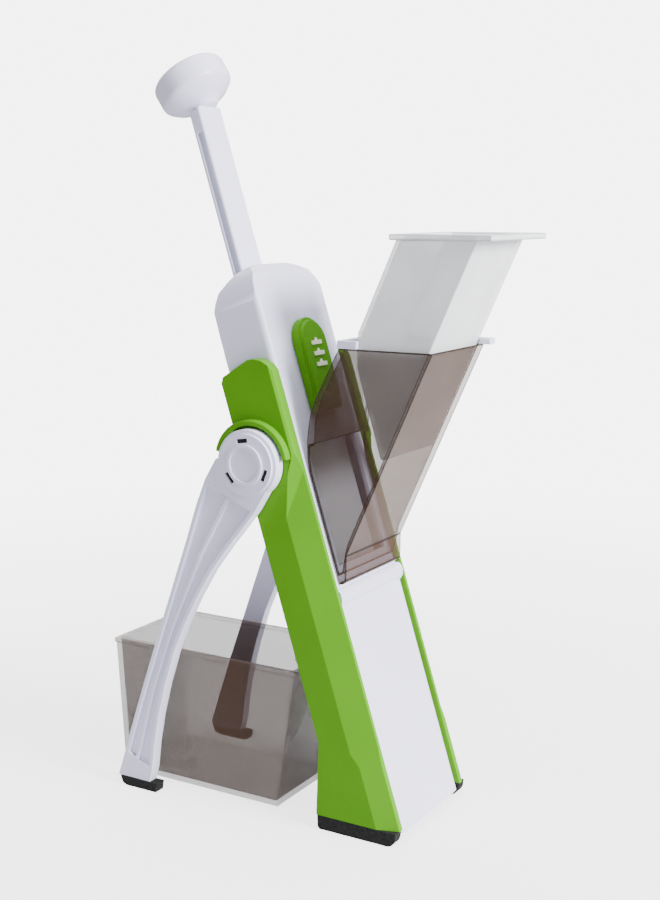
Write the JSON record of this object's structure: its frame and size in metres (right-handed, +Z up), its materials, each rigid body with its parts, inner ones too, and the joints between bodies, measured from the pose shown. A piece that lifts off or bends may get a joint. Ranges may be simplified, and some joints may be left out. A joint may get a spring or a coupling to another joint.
{
  "type": "mandoline slicer",
  "caption": "Upright spring-return mandoline slicer on folding legs: palm plunger, feed chute with pusher, V-blade carriage and catch container.",
  "frame": {"origin": "middle of the box, at the floor", "axes": "+Z up, +X to the right seen from the chute side, the chute faces -Y and the container stands at +Y"},
  "size_m": [0.1042, 0.2364, 0.4147],
  "materials": {
    "white_plastic": "satin moulded plastic",
    "green_plastic": "gloss moulded plastic",
    "grey_plastic": "satin moulded plastic",
    "black_rubber": "matt",
    "steel": "brushed",
    "dark_bush": "self-lubricating plastic",
    "smoke_clear": "clear smoked plastic",
    "frosted_clear": "frosted clear plastic",
    "cream_mark": "satin"
  },
  "bodies": {
    "body": {"front_shell": "white_plastic", "rear_cover": "white_plastic", "side_panel_left": "green_plastic", "side_panel_right": "green_plastic", "foot_left": "black_rubber", "foot_right": "black_rubber", "guide_rods": "steel", "base_brace": "white_plastic", "top_brace": "white_plastic", "slice_ramp": "white_plastic", "plate_rail": "white_plastic", "hinge_axles": "steel", "axle_clips": "steel", "cover_screws": "steel", "shaft_bush": "grey_plastic", "return_springs": "steel"},
    "plunger": {"palm_knob": "white_plastic", "plunger_shaft": "white_plastic", "blade_carriage": "grey_plastic", "v_blade": "steel", "blade_screws": "steel", "rod_bushes": "dark_bush"},
    "left_leg": {"leg_left": "white_plastic", "hub_cap_left": "white_plastic", "leg_foot_left": "black_rubber"},
    "right_leg": {"leg_right": "white_plastic", "hub_cap_right": "white_plastic", "leg_foot_right": "black_rubber"},
    "chute": {"feed_chute": "smoke_clear", "chute_rim": "white_plastic"},
    "pusher": {"food_pusher": "frosted_clear", "pusher_flange": "frosted_clear"},
    "lock": {"chute_lock": "green_plastic", "lock_grips": "cream_mark"},
    "container": {"catch_container": "smoke_clear"},
    "dial": {"thickness_dial": "white_plastic", "cam_shaft": "steel"},
    "plate": {"thickness_plate": "grey_plastic", "plate_pins": "steel"}
  },
  "joints": [
    {"name": "plunger_slide", "type": "slide", "parent": "body", "child": "plunger", "axis": [0, -0.3024, -0.9532], "range_m": [0, 0.088], "stiffness_N_per_m": 260, "springref_m": -0.025, "deforming": ["return_springs"]},
    {"name": "left_leg_fold", "type": "hinge", "parent": "body", "child": "left_leg", "pos_m": [0, 0.01271, 0.19813], "axis": [1, 0, 0], "range_deg": [-36, 0]},
    {"name": "right_leg_fold", "type": "hinge", "parent": "body", "child": "right_leg", "pos_m": [0, 0.01271, 0.19813], "axis": [1, 0, 0], "range_deg": [-36, 0]},
    {"name": "chute_lift", "type": "slide", "parent": "body", "child": "chute", "axis": [0, -0.9532, 0.3024], "range_m": [0, 0.06]},
    {"name": "pusher_slide", "type": "slide", "parent": "chute", "child": "pusher", "axis": [0, -0.4099, 0.9121], "range_m": [-0.052, 0.14]},
    {"name": "lock_slide", "type": "slide", "parent": "body", "child": "lock", "axis": [0, 0.3024, 0.9532], "range_m": [0, 0.006]},
    {"name": "container_slide", "type": "slide", "parent": "body", "child": "container", "axis": [0, 1, 0], "range_m": [0, 0.15]},
    {"name": "dial_turn", "type": "hinge", "parent": "body", "child": "dial", "pos_m": [0, -0.01849, 0.12725], "axis": [1, 0, 0], "range_deg": [0, 270]},
    {"name": "plate_slide", "type": "slide", "parent": "body", "child": "plate", "axis": [0, 0.9532, -0.3024], "range_m": [0, 0.004]}
  ],
  "couplings": [
    {"joint": "dial_turn", "follows": "plate_slide", "rad_per_m": 1178.1}
  ]
}
